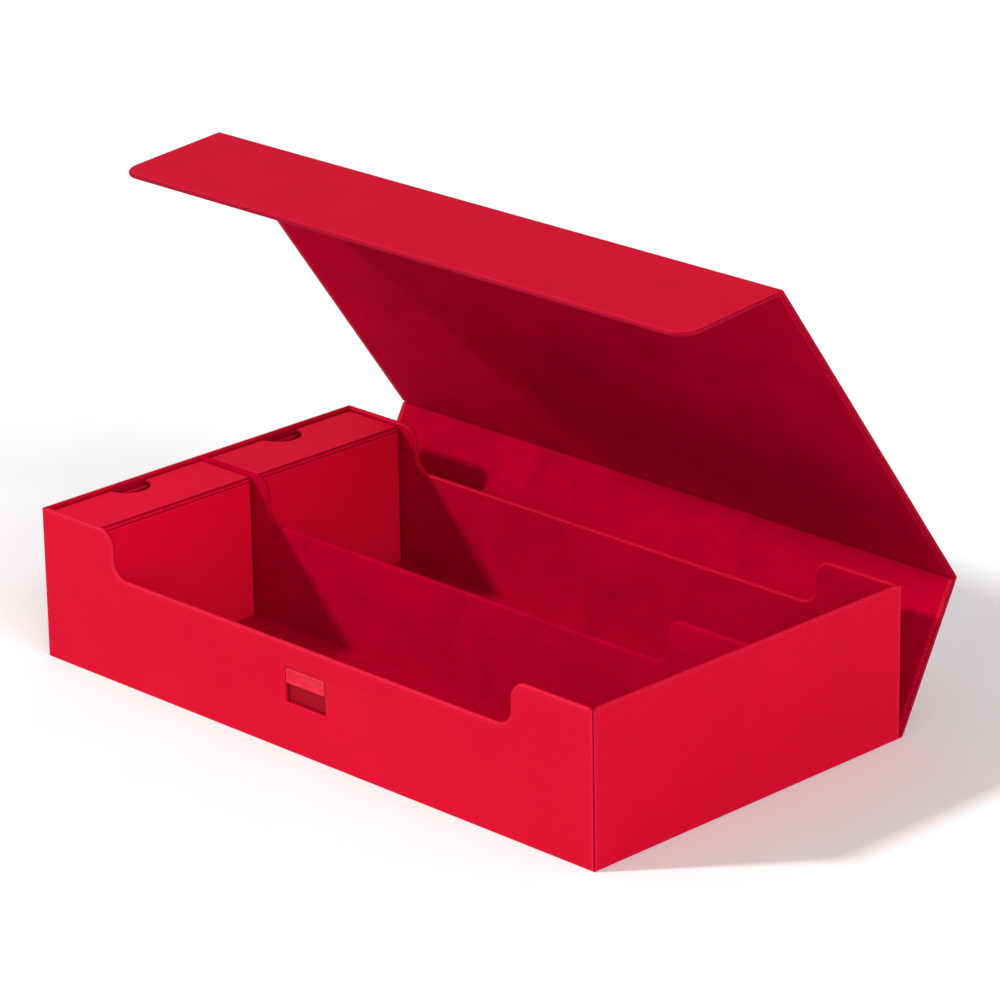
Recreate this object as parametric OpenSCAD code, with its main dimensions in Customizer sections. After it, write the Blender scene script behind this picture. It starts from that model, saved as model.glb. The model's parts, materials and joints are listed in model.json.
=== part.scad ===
// Two-row card storage box: greyboard panels wrapped in leatherette and lined with
// microfibre, a cover of three hinged panels, and two lidded trays that lift out.
// Origin: centre of the underside. +X along the rows, +Y to the back, +Z up.

/* [Box] */
// Length of the box, along the card rows
box_l = 372; // [330:1:450]
// Depth of the box, front to back
box_d = 205; // [170:1:250]
// Height of the box
box_h = 77.5; // [64:0.5:94]
// Greyboard of the walls, floor and divider
board_t = 2; // [1.5:0.1:2.6]
// Leatherette over the outside
skin_t = 0.5; // [0.4:0.05:0.7]
// Microfibre lining of the inside
lining_t = 0.5; // [0.4:0.05:0.7]

/* [Cut-outs] */
// Full-height shoulder at each end of the long walls, up to the cut-out's steep side
shoulder_l = 51.3; // [44:0.1:64]
// How far the cut-out drops below the rim
cut_drop = 23; // [20:0.5:30]
// Radius of both bends of the S-shaped shoulder
cut_r = 9; // [7:0.1:9.9]
// How far the lining stops short of the edges
lining_margin = 1.5; // [0.8:0.1:2]

/* [Name window] */
// Width of the window in the front wall
window_w = 28; // [20:0.5:36]
// Height of the window
window_h = 18.6; // [14:0.1:22]
// Leatherette between the cut-out's low edge and the window
window_drop = 11.6; // [8:0.1:16]
// Height of the blank name plate in the window's upper half
plate_h = 9; // [6:0.1:11]
// Thickness of the name plate
plate_t = 1.2; // [0.8:0.1:1.5]

/* [Cover] */
// Greyboard of the cover panels
cover_board_t = 1.4; // [1.1:0.1:1.8]
// Clearance between the closed cover and the box
cover_gap = 0.4; // [0.3:0.05:0.8]
// Clearance between a crease and the edge of the panel that swings round it
crease_gap = 0.3; // [0.25:0.05:0.4]
// Length of the front flap, from its crease's middle to its free edge
flap_l = 64; // [50:0.5:76]
// Radius of the flap's two free corners
flap_corner_r = 11; // [6:0.5:16]

/* [Magnets] */
// Diameter of the closing magnets and of their steel keepers
magnet_d = 12; // [8:0.5:15]
// Thickness of a keeper, let into the front wall
keeper_t = 1.2; // [0.8:0.1:1.4]
// Distance of the magnets from the flap's free edge
magnet_edge = 18; // [12:0.5:26]
// Distance between neighbouring magnets
magnet_pitch = 92; // [60:1:108]
// Clearance around a magnet or keeper in its pocket
magnet_fit = 0.1; // [0.05:0.05:0.3]

/* [Trays] */
// Length of a tray, along the row
tray_l = 36.5; // [30:0.5:44]
// Clearance between a tray and the row's walls
tray_gap = 1; // [0.5:0.1:1.6]
// How far a closed tray lid lies below the box's rim
tray_drop = 1.5; // [1:0.1:4]
// Greyboard of the trays and their lids
tray_board_t = 1.4; // [1.1:0.1:1.8]
// Radius of the thumb notch in the lid
notch_r = 11; // [8:0.5:14]

/* [Opened for use] */
// Angle that the back panel leans away from the box
back_open = 28.5; // [0:0.5:60]
// Angle that the top panel is raised from square to the back panel
top_open = 25.8; // [10:0.1:60]
// Angle that the flap is raised from square to the top panel
flap_open = 30.7; // [0:0.1:59]

/* [Hidden] */
$fn = 64;

leatherette = [0.83, 0.06, 0.18];
crease_red = [0.75, 0.04, 0.15];
microfibre = [0.62, 0.01, 0.14];
greyboard = [0.62, 0.58, 0.52];
steel = [0.72, 0.73, 0.75];
plate_red = [0.97, 0.25, 0.35];

// Cutting tools run this far past what they cut
past = 1;

// The box's layers, from the outside in
half_l = box_l / 2;
half_d = box_d / 2;
board_half_l = half_l - skin_t;
board_half_d = half_d - skin_t;
inner_half_l = board_half_l - board_t;
inner_half_d = board_half_d - board_t;
row_half_l = inner_half_l - lining_t;
row_far_y = inner_half_d - lining_t;
floor_board_z = skin_t + board_t;
row_floor_z = floor_board_z + lining_t;
divider_half_t = board_t / 2 + lining_t;
row_mid_y = (row_far_y + divider_half_t) / 2;

// The cut-out in the long walls
cut_half = half_l - shoulder_l;
cut_z = box_h - cut_drop;
window_z = cut_z - window_drop - window_h;

// The cover's layers and its three hinge lines
panel_t = skin_t + cover_board_t + lining_t;
crease_r = panel_t / 2;
crease_reach = crease_r + crease_gap;
cover_near_y = half_d + cover_gap;
hinge_y = cover_near_y + crease_r;
low_hinge_z = crease_r;
high_hinge_z = box_h + cover_gap + crease_r;

// The panels between the hinge lines
back_panel_l = high_hinge_z - low_hinge_z - 2 * crease_reach;
top_panel_l = 2 * hinge_y - 2 * crease_reach;
flap_panel_l = flap_l - crease_reach;

// The magnets in the flap, and the keepers that face them with the cover closed
magnet_x = [for (i = [-1.5 : 1 : 1.5]) i * magnet_pitch];
magnet_z = high_hinge_z - flap_l + magnet_edge;

// The trays
tray_wall_t = skin_t + tray_board_t + lining_t;
lid_t = tray_wall_t;
lid_crease_r = lid_t / 2;
lid_reach = lid_crease_r + crease_gap;
tray_w = row_far_y - divider_half_t - 2 * tray_gap;
tray_left_x = -row_half_l + tray_gap;
tray_right_x = tray_left_x + tray_l;
lid_top_z = box_h - tray_drop;
lid_hinge_x = tray_right_x - lid_crease_r;
lid_hinge_z = lid_top_z - lid_crease_r;
tray_top_z = lid_hinge_z - lid_reach;
lid_l = tray_l - lid_crease_r - lid_reach;
tray_board_z = row_floor_z + skin_t + tray_board_t;
tray_board_top_z = tray_top_z - lining_t;

// ---- Shapes shared by the walls ----

// A block between two corners
module block(low, high) {
    translate(low) cube(high - low);
}

// What rounding takes off a square corner at the origin that points towards -X and -Y
module corner_waste(r) {
    difference() {
        square(r);
        translate([r, r]) circle(r);
    }
}

// A long wall seen from the front, drawn in XZ: full height at its ends and cut down between
// them, with every free edge moved in by inset
module wall_outline(reach, low_z, inset) {
    side = cut_half + inset;
    upper_r = cut_r - inset;
    lower_r = cut_r + inset;
    difference() {
        translate([-reach, low_z]) square([2 * reach, box_h - inset - low_z]);
        difference() {
            translate([-side, cut_z - inset]) square([2 * side, cut_drop + inset + past]);
            for (m = [0, 1]) {
                mirror([m, 0]) translate([-side, cut_z - inset]) corner_waste(lower_r);
            }
        }
        for (m = [0, 1]) {
            mirror([m, 0]) translate([-side, box_h - inset]) rotate(180) corner_waste(upper_r);
        }
    }
}

// Stands a drawing in XZ up as a wall from y to y + t
module upright(y, t) {
    translate([0, y + t, 0]) rotate([90, 0, 0]) linear_extrude(t) children();
}

module window_outline() {
    translate([-window_w / 2, window_z]) square([window_w, window_h]);
}

module keeper_outline(clearance) {
    for (x = magnet_x) {
        translate([x, magnet_z]) circle(magnet_d / 2 + clearance);
    }
}

// ---- Box ----

module base_skin() {
    color(leatherette) block([-half_l, -half_d, 0], [half_l, half_d, skin_t]);
}

module base_board() {
    color(greyboard)
        block([-board_half_l, -board_half_d, skin_t], [board_half_l, board_half_d, floor_board_z]);
}

module front_wall_board() {
    color(greyboard) difference() {
        upright(-board_half_d, board_t) difference() {
            wall_outline(board_half_l, floor_board_z, skin_t);
            window_outline();
        }
        upright(-board_half_d - past, keeper_t + past) keeper_outline(magnet_fit);
    }
}

module rear_wall_board() {
    color(greyboard) upright(inner_half_d, board_t) wall_outline(board_half_l, floor_board_z, skin_t);
}

module end_board(side) {
    color(greyboard) mirror([side < 0 ? 1 : 0, 0, 0])
        block([inner_half_l, -inner_half_d, floor_board_z], [board_half_l, inner_half_d, box_h - skin_t]);
}

// The leatherette of a long wall: a sheet on the outside that turns over the board's free edge
module long_skin() {
    difference() {
        upright(-half_d, skin_t + board_t) wall_outline(half_l, skin_t, 0);
        upright(-board_half_d, board_t + past) wall_outline(board_half_l, -past, skin_t);
        for (m = [0, 1]) {
            mirror([m, 0, 0])
                block([board_half_l, -board_half_d, -past], [half_l + past, 0, box_h + past]);
        }
    }
}

module front_skin() {
    color(leatherette) difference() {
        long_skin();
        upright(-half_d - past, skin_t + 2 * past) window_outline();
    }
}

module rear_skin() {
    color(leatherette) mirror([0, 1, 0]) long_skin();
}

// The leatherette of an end: a sheet on the outside that turns over the end board's top
module end_skin(side) {
    color(leatherette) mirror([side < 0 ? 1 : 0, 0, 0]) {
        block([board_half_l, -board_half_d, skin_t], [half_l, board_half_d, box_h]);
        block([inner_half_l, -inner_half_d, box_h - skin_t], [board_half_l, inner_half_d, box_h]);
    }
}

module divider_board() {
    color(greyboard) upright(-board_t / 2, board_t)
        wall_outline(inner_half_l, floor_board_z, lining_t);
}

// Microfibre wrapped over the divider from the front row to the back row
module divider_sleeve() {
    color(microfibre) difference() {
        upright(-divider_half_t, 2 * divider_half_t) wall_outline(inner_half_l, floor_board_z, 0);
        upright(-board_t / 2, board_t) wall_outline(inner_half_l + past, 0, lining_t);
    }
}

// Lining of one row: its floor, its two ends and its outer long wall; side is -1 for the front
module row_lining(side) {
    color(microfibre) mirror([0, side < 0 ? 1 : 0, 0]) intersection() {
        difference() {
            block([-inner_half_l, divider_half_t, floor_board_z],
                  [inner_half_l, inner_half_d, box_h - lining_margin]);
            block([-row_half_l, 0, row_floor_z], [row_half_l, row_far_y, box_h]);
        }
        upright(0, half_d) wall_outline(half_l, 0, lining_margin);
    }
}

// Leatherette patch behind the window, glued to the inside of the front board
module window_backing() {
    color(leatherette) upright(-inner_half_d - skin_t, skin_t) window_outline();
}

module name_plate() {
    color(plate_red) upright(-inner_half_d - skin_t - plate_t, plate_t)
        translate([-window_w / 2, window_z + window_h - plate_h]) square([window_w, plate_h]);
}

module front_keepers() {
    color(steel) upright(-board_half_d, keeper_t) keeper_outline(0);
}

// ---- Cover ----

// Swings what is drawn closed about a hinge line along X
module swing(y, z, angle) {
    translate([0, y, z]) rotate([-angle, 0, 0]) translate([0, -y, -z]) children();
}

module back_pose() {
    swing(hinge_y, low_hinge_z, back_open) children();
}

module top_pose() {
    back_pose() swing(hinge_y, high_hinge_z, top_open) children();
}

module flap_pose() {
    top_pose() swing(-hinge_y, high_hinge_z, flap_open) children();
}

// A panel lies flat on its lining, with its hinged edge on the X axis and its free edge
// towards +Y. Its far corners may be rounded, and a lid has a half-round notch there.
module panel_outline(w, l, corner_r, notch, inset) {
    difference() {
        translate([-w / 2 + inset, inset]) square([w - 2 * inset, l - 2 * inset]);
        if (corner_r > inset) {
            for (m = [0, 1]) {
                mirror([m, 0]) translate([-w / 2 + inset, l - inset]) rotate(-90)
                    corner_waste(corner_r - inset);
            }
        }
        if (notch > 0) {
            translate([0, l]) circle(notch + inset);
        }
    }
}

module panel_board(w, l, t, corner_r = 0, notch = 0) {
    color(greyboard) translate([0, 0, lining_t]) linear_extrude(t)
        panel_outline(w, l, corner_r, notch, skin_t);
}

// Leatherette over the outside of a panel and round its edges
module panel_skin(w, l, t, corner_r = 0, notch = 0) {
    color(leatherette) translate([0, 0, lining_t]) difference() {
        linear_extrude(t + skin_t) panel_outline(w, l, corner_r, notch, 0);
        translate([0, 0, -past]) linear_extrude(t + past)
            panel_outline(w, l, corner_r, notch, skin_t);
    }
}

module panel_lining(w, l, corner_r = 0, notch = 0) {
    color(microfibre) linear_extrude(lining_t)
        panel_outline(w, l, corner_r, notch, lining_margin);
}

// A crease is a round bead of folded leatherette on the hinge line, with a web to its panel.
// It is drawn on the X axis, with the web towards -Y and to one side of the bead.
module crease(w, r, reach) {
    color(crease_red) {
        rotate([0, 90, 0]) cylinder(h = w, r = r, center = true);
        block([-w / 2, -reach, 0], [w / 2, 0, r]);
    }
}

module place_back() {
    back_pose() translate([0, cover_near_y, low_hinge_z + crease_reach]) rotate([90, 0, 180])
        children();
}

module place_top() {
    top_pose() translate([0, hinge_y - crease_reach, box_h + cover_gap]) rotate([0, 0, 180])
        children();
}

module place_flap() {
    flap_pose() translate([0, -cover_near_y, high_hinge_z - crease_reach]) rotate([-90, 0, 180])
        children();
}

module back_crease() {
    translate([0, hinge_y, low_hinge_z]) mirror([0, 0, 1])
        crease(box_l, crease_r, hinge_y - half_d);
}

module back_board() {
    place_back() panel_board(box_l, back_panel_l, cover_board_t);
}

module back_skin() {
    place_back() panel_skin(box_l, back_panel_l, cover_board_t);
}

module back_lining() {
    place_back() panel_lining(box_l, back_panel_l);
}

module top_crease() {
    back_pose() translate([0, hinge_y, high_hinge_z]) rotate([90, 0, 180])
        crease(box_l, crease_r, crease_reach);
}

module top_board() {
    place_top() panel_board(box_l, top_panel_l, cover_board_t);
}

module top_skin() {
    place_top() panel_skin(box_l, top_panel_l, cover_board_t);
}

module top_lining() {
    place_top() panel_lining(box_l, top_panel_l);
}

module flap_crease() {
    top_pose() translate([0, -hinge_y, high_hinge_z]) rotate([0, 0, 180])
        crease(box_l, crease_r, crease_reach);
}

// The flap's magnets, drawn as the flap is placed
module flap_magnet_discs(clearance) {
    translate([0, 0, lining_t]) linear_extrude(cover_board_t)
        for (x = magnet_x) {
            translate([x, flap_panel_l - magnet_edge]) circle(magnet_d / 2 + clearance);
        }
}

module flap_board() {
    place_flap() color(greyboard) difference() {
        panel_board(box_l, flap_panel_l, cover_board_t, flap_corner_r);
        flap_magnet_discs(magnet_fit);
    }
}

module flap_skin() {
    place_flap() panel_skin(box_l, flap_panel_l, cover_board_t, flap_corner_r);
}

module flap_lining() {
    place_flap() panel_lining(box_l, flap_panel_l, flap_corner_r);
}

module flap_magnets() {
    place_flap() color(steel) flap_magnet_discs(0);
}

// ---- Trays; side is -1 for the tray in the front row and 1 for the back row ----

// A block of a tray, from its outside moved in by inset, between two heights
module tray_block(side, inset, low_z, high_z) {
    y = side * row_mid_y;
    block([tray_left_x + inset, y - tray_w / 2 + inset, low_z],
          [tray_right_x - inset, y + tray_w / 2 - inset, high_z]);
}

module tray_base(side) {
    color(greyboard) tray_block(side, skin_t, row_floor_z + skin_t, tray_board_z);
}

// The boards along X, at the tray's front (end = -1) and rear (end = 1)
module tray_long_board(side, end) {
    y = side * row_mid_y + end * (tray_w / 2 - skin_t - tray_board_t / 2);
    color(greyboard)
        block([tray_left_x + skin_t, y - tray_board_t / 2, tray_board_z],
              [tray_right_x - skin_t, y + tray_board_t / 2, tray_board_top_z]);
}

// The boards across the tray, between the other two, from x to x + tray_board_t
module tray_cross_board(side, x) {
    y = side * row_mid_y;
    half_w = tray_w / 2 - skin_t - tray_board_t;
    color(greyboard)
        block([x, y - half_w, tray_board_z], [x + tray_board_t, y + half_w, tray_board_top_z]);
}

module tray_left_board(side) {
    tray_cross_board(side, tray_left_x + skin_t);
}

module tray_right_board(side) {
    tray_cross_board(side, tray_right_x - skin_t - tray_board_t);
}

module tray_skin(side) {
    color(leatherette) difference() {
        tray_block(side, 0, row_floor_z, tray_top_z);
        tray_block(side, skin_t, row_floor_z + skin_t, tray_top_z + past);
    }
}

// Lining of the tray's inside, turned out over the boards' upper edges
module tray_lining(side) {
    color(microfibre) {
        difference() {
            tray_block(side, skin_t + tray_board_t, tray_board_z, tray_top_z);
            tray_block(side, tray_wall_t, tray_board_z + lining_t, tray_top_z + past);
        }
        difference() {
            tray_block(side, skin_t, tray_board_top_z, tray_top_z);
            tray_block(side, tray_wall_t, tray_board_z, tray_top_z + past);
        }
    }
}

module tray_crease(side) {
    translate([lid_hinge_x, side * row_mid_y, lid_hinge_z]) rotate([90, 0, 90])
        crease(tray_w, lid_crease_r, lid_reach);
}

module place_lid(side) {
    translate([lid_hinge_x - lid_reach, side * row_mid_y, lid_top_z - lid_t]) rotate([0, 0, 90])
        children();
}

module tray_lid_board(side) {
    place_lid(side) panel_board(tray_w, lid_l, tray_board_t, 0, notch_r);
}

module tray_lid_skin(side) {
    place_lid(side) panel_skin(tray_w, lid_l, tray_board_t, 0, notch_r);
}

module tray_lid_lining(side) {
    place_lid(side) panel_lining(tray_w, lid_l, 0, notch_r);
}

base_skin();
base_board();
front_wall_board();
rear_wall_board();
end_board(-1);  // left_end_board
end_board(1);  // right_end_board
front_skin();
rear_skin();
end_skin(-1);  // left_skin
end_skin(1);  // right_skin
divider_board();
divider_sleeve();
row_lining(-1);  // front_row_lining
row_lining(1);  // rear_row_lining
window_backing();
name_plate();
front_keepers();
back_crease();
back_board();
back_skin();
back_lining();
top_crease();
top_board();
top_skin();
top_lining();
flap_crease();
flap_board();
flap_skin();
flap_lining();
flap_magnets();
tray_base(-1);  // front_tray_base
tray_left_board(-1);  // front_tray_left_board
tray_right_board(-1);  // front_tray_right_board
tray_long_board(-1, -1);  // front_tray_front_board
tray_long_board(-1, 1);  // front_tray_rear_board
tray_skin(-1);  // front_tray_skin
tray_lining(-1);  // front_tray_lining
tray_crease(-1);  // front_tray_crease
tray_lid_board(-1);  // front_tray_lid_board
tray_lid_skin(-1);  // front_tray_lid_skin
tray_lid_lining(-1);  // front_tray_lid_lining
tray_base(1);  // rear_tray_base
tray_left_board(1);  // rear_tray_left_board
tray_right_board(1);  // rear_tray_right_board
tray_long_board(1, -1);  // rear_tray_front_board
tray_long_board(1, 1);  // rear_tray_rear_board
tray_skin(1);  // rear_tray_skin
tray_lining(1);  // rear_tray_lining
tray_crease(1);  // rear_tray_crease
tray_lid_board(1);  // rear_tray_lid_board
tray_lid_skin(1);  // rear_tray_lid_skin
tray_lid_lining(1);  // rear_tray_lid_lining
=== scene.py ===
import json
import math

import bmesh
import bpy
import numpy as np
from mathutils import Matrix, Vector


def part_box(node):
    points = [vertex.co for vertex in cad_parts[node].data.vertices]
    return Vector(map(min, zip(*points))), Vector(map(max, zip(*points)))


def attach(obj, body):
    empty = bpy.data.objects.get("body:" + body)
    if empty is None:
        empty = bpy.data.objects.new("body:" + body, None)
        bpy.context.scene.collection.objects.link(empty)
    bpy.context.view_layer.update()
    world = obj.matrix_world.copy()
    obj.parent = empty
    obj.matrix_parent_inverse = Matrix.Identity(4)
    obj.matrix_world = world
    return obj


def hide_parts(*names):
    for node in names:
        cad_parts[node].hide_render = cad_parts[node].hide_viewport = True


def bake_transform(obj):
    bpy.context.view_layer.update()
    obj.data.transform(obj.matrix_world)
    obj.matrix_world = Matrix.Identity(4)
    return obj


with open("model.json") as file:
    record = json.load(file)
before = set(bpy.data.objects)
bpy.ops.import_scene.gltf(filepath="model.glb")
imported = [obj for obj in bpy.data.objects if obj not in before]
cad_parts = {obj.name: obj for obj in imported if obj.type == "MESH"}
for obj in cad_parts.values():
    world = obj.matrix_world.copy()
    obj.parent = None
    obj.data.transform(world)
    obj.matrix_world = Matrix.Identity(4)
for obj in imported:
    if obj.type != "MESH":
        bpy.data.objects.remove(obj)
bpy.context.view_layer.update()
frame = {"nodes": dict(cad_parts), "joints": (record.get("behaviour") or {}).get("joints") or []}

# ---- Greyboard ----
# Every wall, panel and lid is die-cut greyboard, 2 mm thick in the box and 1.4 mm in the cover
# and the trays. The boards are glued edge to edge, then hidden under leatherette and lining.

mm = 0.001


def add_node(finish, kind, sockets=None, **settings):
    """A shader node, with its settings, and its sockets filled with values or linked to outputs."""
    tree = finish.node_tree
    node = tree.nodes.new(kind)
    for key, value in settings.items():
        setattr(node, key, value)
    for key, value in (sockets or {}).items():
        if isinstance(value, bpy.types.NodeSocket):
            tree.links.new(value, node.inputs[key])
        else:
            node.inputs[key].default_value = value
    return node


def new_finish(name, **constants):
    """A material, its shader with what is the same all over, and its own place in millimetres."""
    finish = bpy.data.materials.new(name)
    finish.use_nodes = True
    shader = finish.node_tree.nodes["Principled BSDF"]
    for key, value in constants.items():
        shader.inputs[key.replace("_", " ")].default_value = value
    place = add_node(finish, "ShaderNodeTexCoord")
    in_mm = add_node(finish, "ShaderNodeVectorMath",
                     {0: place.outputs["Object"], 3: 1 / mm}, operation="SCALE")
    return finish, shader, in_mm.outputs[0]


def fill(finish, shader, **sockets):
    """Links outputs to the shader's sockets."""
    for key, output in sockets.items():
        finish.node_tree.links.new(output, shader.inputs[key.replace("_", " ")])


def noise(finish, place, size, detail=2.0, roughness=0.5, distortion=0.0):
    """A noise with features of about that size in millimetres."""
    node = add_node(finish, "ShaderNodeTexNoise",
                    {"Vector": place, "Scale": 1 / size, "Detail": detail,
                     "Roughness": roughness, "Distortion": distortion})
    return node.outputs["Fac"]


def stretched(finish, place, x=1.0, y=1.0, z=1.0):
    """The place, squeezed along each axis, so that a noise comes out longer the other way."""
    return add_node(finish, "ShaderNodeVectorMath", {0: place, 1: (x, y, z)},
                    operation="MULTIPLY").outputs[0]


def shades(finish, amount, *stops):
    """Colours between the stops (position, colour) as amount goes from 0 to 1."""
    ramp = add_node(finish, "ShaderNodeValToRGB", {"Fac": amount})
    elements = ramp.color_ramp.elements
    while len(elements) < len(stops):
        elements.new(0.5)
    for element, (position, colour) in zip(elements, stops):
        element.position = position
        element.color = (*colour, 1)
    return ramp.outputs["Color"]


def between(finish, amount, low, high):
    """amount, which runs from 0 to 1, turned into a number from low to high."""
    return add_node(finish, "ShaderNodeMapRange",
                    {"Value": amount, "To Min": low, "To Max": high}).outputs[0]


def overlay(finish, base, layer, amount, how="MIX"):
    """A colour laid over another one."""
    node = add_node(finish, "ShaderNodeMix", data_type="RGBA", blend_type=how)
    for key, value in (("Factor", amount), ("A", base), ("B", layer)):
        socket = next(s for s in node.inputs
                      if s.name == key and s.type == ("VALUE" if key == "Factor" else "RGBA"))
        if isinstance(value, bpy.types.NodeSocket):
            finish.node_tree.links.new(value, socket)
        else:
            socket.default_value = value if key == "Factor" else (*value, 1)
    return next(s for s in node.outputs if s.type == "RGBA")


def relief(finish, *layers):
    """Bumps on top of each other, each (height, depth in millimetres)."""
    normal = None
    for height, depth in layers:
        sockets = {"Height": height, "Distance": depth * mm, "Strength": 1.0}
        if normal is not None:
            sockets["Normal"] = normal
        normal = add_node(finish, "ShaderNodeBump", sockets).outputs[0]
    return normal


def make_greyboard():
    """Pressed waste paper: grey brown, with darker and paler fibres lying every way."""
    finish, shader, place = new_finish("greyboard", Specular_IOR_Level=0.2)
    fibres = noise(finish, stretched(finish, place, 0.3, 1.0, 1.0), 0.6, 4.0, 0.7, 1.5)
    clouds = noise(finish, place, 9, 3.0)
    paper = shades(finish, fibres, (0.3, (0.22, 0.19, 0.155)), (0.55, (0.36, 0.32, 0.265)),
                   (0.75, (0.47, 0.43, 0.37)))
    tone = shades(finish, clouds, (0.3, (0.82, 0.8, 0.78)), (0.7, (1, 1, 1)))
    fill(finish, shader, Base_Color=overlay(finish, paper, tone, 1.0, "MULTIPLY"),
         Roughness=between(finish, fibres, 0.85, 0.98),
         Normal=relief(finish, (fibres, 0.05), (clouds, 0.03)))
    return finish


greyboard = make_greyboard()
for name, board in frame["nodes"].items():
    if name.endswith("_board") or name.endswith("_base"):
        board.data.materials.clear()
        board.data.materials.append(greyboard)

# ---- Magnets and keepers ----
# Four plated disc magnets in the flap's board close on four steel discs let into the front
# wall's board. Both are glued in their pockets and hidden by the leatherette.


def make_plated_steel():
    """Nickel plate over turned steel: fine rings of brushing and a little dulling."""
    finish, shader, place = new_finish("plated_steel", Metallic=1.0)
    dulling = noise(finish, place, 3, 4.0, 0.6)
    brushing = noise(finish, stretched(finish, place, 0.05, 1.0, 1.0), 0.12, 2.0)
    fill(finish, shader,
         Base_Color=shades(finish, dulling, (0.3, (0.5, 0.5, 0.49)), (0.7, (0.68, 0.67, 0.65))),
         Roughness=between(finish, dulling, 0.2, 0.42),
         Normal=relief(finish, (brushing, 0.01)))
    return finish


plated_steel = make_plated_steel()
for name in ("front_keepers", "flap_magnets"):
    frame["nodes"][name].data.materials.clear()
    frame["nodes"][name].data.materials.append(plated_steel)

# ---- Leatherette of the box's walls ----
# Each wall has its own sheet of pebbled leatherette, glued to the board. It turns over the
# board's free edge and under the base, and two walls meet at a corner in a mitred seam.

box_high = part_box("base_skin")[1] / mm
half_l, half_d, skin_t = box_high.x, box_high.y, box_high.z
box_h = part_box("left_skin")[1].z / mm
board_in = half_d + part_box("front_wall_board")[1].y / mm
shoulder_l, cut_drop, cut_r = 51.3, 23.0, 9.0
cut_half = half_l - shoulder_l
cut_z = box_h - cut_drop

rim_r, inner_rim_r, foot_r = 1.3, 1.0, 0.6
leather_t = 0.35
wrap_in = board_in + 0.2
wrap_down = 6.0
base_lift = 0.2
turn_under = 12.0
foot_z = 4.0
corner_r, corner_gap, corner_reach = 0.7, 0.4, 3.0
far_off = 1e4
rim_stitch_in, corner_stitch_in = 1.9, 2.7
groove = ((0.9, 0.0), (0.4, 0.0), (0.16, 0.1), (-0.16, 0.1), (-0.4, 0.0))
# Marks on the walls' leatherette: painted shade in the stitch groove, down each mitre and in the corner
# seam, and edges paler from rubbing with a painted highlight on the rims and rounded corners.
groove_painted_shade = -0.18
rim_rub_and_highlight, rim_rub_and_highlight_first, rim_rub_and_highlight_step = 0.65, 0.15, 0.08
side_rub_and_highlight, mitre_painted_shade, seam_painted_shade = 0.4, -0.6, -1.0
first_row_up, next_row_down = 1.5, 0.3
bend_steps = 12


class Pattern:
    """The points and faces of one piece, in millimetres, as they are laid out."""

    def __init__(self):
        self.points, self.faces, self.wear_and_painted_light = [], [], []

    def line(self, points, wear_and_painted_light=0.0):
        """Adds a row of points, with one value of rubbing and painted light for all of them or one
        each, and returns their numbers.
        """
        first = len(self.points)
        self.points += [tuple(p) for p in points]
        self.wear_and_painted_light += wear_and_painted_light if isinstance(wear_and_painted_light, list) else [wear_and_painted_light] * len(points)
        return list(range(first, len(self.points)))

    def join(self, a, b, closed=False, skip=()):
        """Faces between two rows that have the same number of points."""
        for i in range(len(a) if closed else len(a) - 1):
            j = (i + 1) % len(a)
            if i not in skip:
                self.faces.append((a[i], a[j], b[j], b[i]))

    def join_all(self, rows, closed=False, skip=()):
        """Faces between each row and the next one."""
        for a, b in zip(rows, rows[1:]):
            self.join(a, b, closed, skip)


def face_out(bm, faces, towards):
    """Turns the faces of one loose part so that the one nearest to a point faces it."""
    bmesh.ops.recalc_face_normals(bm, faces=faces)
    nearest = min(faces, key=lambda f: (f.calc_center_median() - towards).length)
    if nearest.normal.dot(towards - nearest.calc_center_median()) < 0:
        bmesh.ops.reverse_faces(bm, faces=faces)


def loose_parts(bm):
    """The faces of each part that isn't joined to the others."""
    left = set(bm.faces)
    while left:
        part, edge_of = [], [left.pop()]
        while edge_of:
            face = edge_of.pop()
            part.append(face)
            for edge in face.edges:
                for other in edge.link_faces:
                    if other in left:
                        left.remove(other)
                        edge_of.append(other)
        yield part


def make_piece(name, pattern, finish, towards, matrix=None, thickness=0.0, holes=(), sharp=38):
    """A mesh object from a pattern. Holes are pairs of an outer and inner row, filled between."""
    bm = bmesh.new()
    wear_and_painted_light = bm.verts.layers.float.new("wear_and_painted_light")
    verts = []
    for point, rub_and_painted_light in zip(pattern.points, pattern.wear_and_painted_light):
        place = matrix @ Vector(point) if matrix else Vector(point)
        verts.append(bm.verts.new(place * mm))
        verts[-1][wear_and_painted_light] = rub_and_painted_light
    for face in pattern.faces:
        bm.faces.new([verts[i] for i in face])
    for rows in holes:
        edges = []
        for row in rows:
            for a, b in zip(row, row[1:] + row[:1]):
                edges.append(bm.edges.get((verts[a], verts[b])) or bm.edges.new((verts[a], verts[b])))
        bmesh.ops.triangle_fill(bm, edges=edges, use_beauty=True)
    point = Vector(towards) * mm
    for part in list(loose_parts(bm)):
        face_out(bm, part, point)
    mesh = bpy.data.meshes.new(name)
    bm.to_mesh(mesh)
    bm.free()
    mesh.polygons.foreach_set("use_smooth", [True] * len(mesh.polygons))
    mesh.materials.append(finish)
    piece = bpy.data.objects.new(name, mesh)
    bpy.context.scene.collection.objects.link(piece)
    if thickness:
        layer = piece.modifiers.new("thickness", "SOLIDIFY")
        layer.thickness = thickness * mm
        layer.offset = -1
        thick = piece.evaluated_get(bpy.context.evaluated_depsgraph_get())
        piece.data = bpy.data.meshes.new_from_object(thick)
        piece.modifiers.clear()
    piece.data.set_sharp_from_angle(angle=math.radians(sharp))
    return piece


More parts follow.
